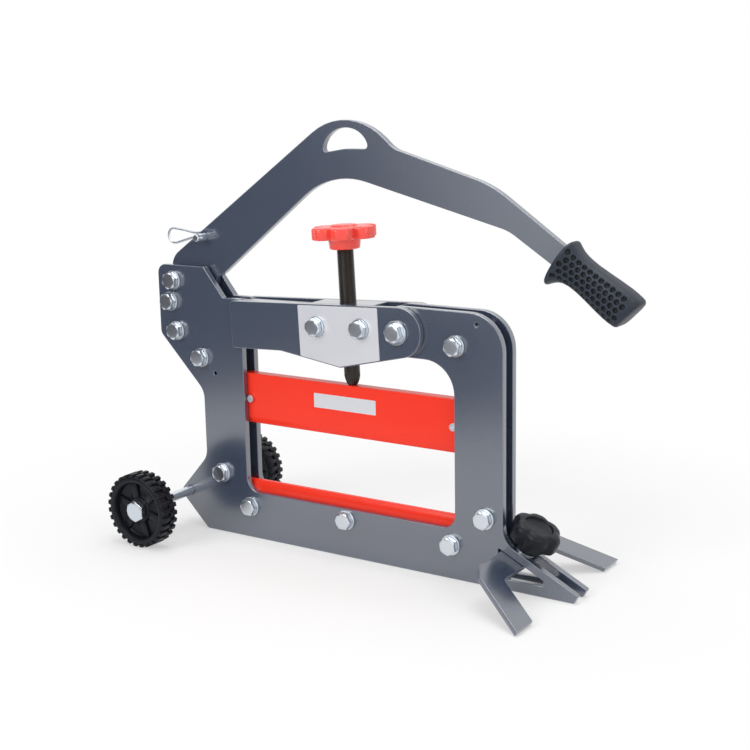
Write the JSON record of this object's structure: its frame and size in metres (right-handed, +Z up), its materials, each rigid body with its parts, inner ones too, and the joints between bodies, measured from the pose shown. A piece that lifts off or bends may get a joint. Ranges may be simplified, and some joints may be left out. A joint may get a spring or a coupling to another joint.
{
  "type": "masonry block splitter",
  "caption": "Hand-lever block splitter: twin bolted side plates with a window, fixed lower blade, sliding upper blade set by a screw in a rocking beam, wheels and a splayed foot.",
  "frame": {"origin": "on the ground, under the middle of the splitting window, in the plane midway between the side plates", "axes": "+X along the side plates towards the hand grip, +Y from the front side plate to the rear one, +Z up"},
  "size_m": [0.654, 0.256, 0.5187],
  "materials": {
    "anthracite_paint": "glossy",
    "red_paint": "glossy",
    "zinc": "bright zinc",
    "black_oxide": "oiled black",
    "black_plastic": "moulded",
    "grip_rubber": "satin",
    "red_plastic": "glossy",
    "label_silver": "satin"
  },
  "bodies": {
    "frame": {"front_side_plate": "anthracite_paint", "rear_side_plate": "anthracite_paint", "lower_blade": "red_paint", "plate_spacers": "zinc", "plate_bolts": "zinc", "plate_washers": "zinc", "plate_nuts": "zinc", "lever_pivot_bolt": "zinc", "beam_pivot_bolt": "zinc", "beam_pivot_sleeve": "zinc", "wheel_axle": "zinc", "axle_nuts": "zinc"},
    "lever": {"hand_lever": "anthracite_paint", "hand_grip": "grip_rubber"},
    "lever_pin": {"lever_pin": "zinc"},
    "spring_clip": {"spring_clip": "zinc"},
    "beam": {"front_beam_plate": "anthracite_paint", "rear_beam_plate": "anthracite_paint", "nut_block": "anthracite_paint", "beam_tongue": "anthracite_paint", "block_bolts": "zinc", "block_washers": "zinc", "block_nuts": "zinc", "label_plate": "label_silver"},
    "thrust_tip": {"thrust_tip": "black_oxide"},
    "press_screw": {"press_screw": "black_oxide", "screw_knob": "red_plastic"},
    "upper_blade": {"upper_blade": "red_paint", "blade_guide_screws": "zinc"},
    "front_wheel": {"front_wheel": "black_plastic"},
    "rear_wheel": {"rear_wheel": "black_plastic"},
    "foot": {"stabiliser_foot": "anthracite_paint", "foot_stud": "zinc"},
    "foot_washer": {"foot_washer": "zinc"},
    "foot_knob": {"foot_knob": "black_plastic"}
  },
  "joints": [
    {"name": "lever_swing", "type": "hinge", "parent": "frame", "child": "lever", "pos_m": [-0.257, 0, 0.32], "axis": [0, -1, 0], "range_deg": [0, 50]},
    {"name": "beam_rock", "type": "hinge", "parent": "frame", "child": "beam", "pos_m": [0.08, 0, 0.283], "axis": [0, 1, 0], "range_deg": [0, 2.5]},
    {"name": "screw_turn", "type": "hinge", "parent": "thrust_tip", "child": "press_screw", "pos_m": [0.00007, 0, 0.27965], "axis": [-0.0419, 0, 0.9991], "range_deg": [-5600, 1640]},
    {"name": "screw_feed", "type": "slide", "parent": "beam", "child": "thrust_tip", "axis": [-0.0419, 0, 0.9991], "range_m": [-0.062, 0.018]},
    {"name": "blade_slide", "type": "slide", "parent": "frame", "child": "upper_blade", "axis": [0, 0, 1], "range_m": [-0.0622, 0.0182]},
    {"name": "front_wheel_spin", "type": "hinge", "parent": "frame", "child": "front_wheel", "pos_m": [-0.244, -0.1075, 0.047], "axis": [0, 1, 0], "continuous": true},
    {"name": "rear_wheel_spin", "type": "hinge", "parent": "frame", "child": "rear_wheel", "pos_m": [-0.244, 0.1075, 0.047], "axis": [0, 1, 0], "continuous": true},
    {"name": "pin_pull", "type": "slide", "parent": "lever", "child": "lever_pin", "axis": [0, -1, 0], "range_m": [0, 0.04]},
    {"name": "clip_pull", "type": "slide", "parent": "lever_pin", "child": "spring_clip", "axis": [-1, 0, 0], "range_m": [0, 0.025]},
    {"name": "foot_slide", "type": "slide", "parent": "frame", "child": "foot", "axis": [0.891, 0, -0.454], "range_m": [0, 0.02]},
    {"name": "clamp_lift", "type": "slide", "parent": "foot", "child": "foot_washer", "axis": [0.454, 0, 0.891], "range_m": [0, 0.005]},
    {"name": "clamp_turn", "type": "hinge", "parent": "foot_washer", "child": "foot_knob", "pos_m": [0.22893, 0, 0.03603], "axis": [0.454, 0, 0.891], "range_deg": [0, 1036]}
  ],
  "couplings": [
    {"joint": "beam_rock", "follows": "lever_swing", "ratio": 0.05},
    {"joint": "screw_turn", "follows": "screw_feed", "rad_per_m": 1570.8},
    {"joint": "blade_slide", "follows": "screw_feed", "ratio": 1},
    {"joint": "clamp_turn", "follows": "clamp_lift", "rad_per_m": 3590.4}
  ]
}
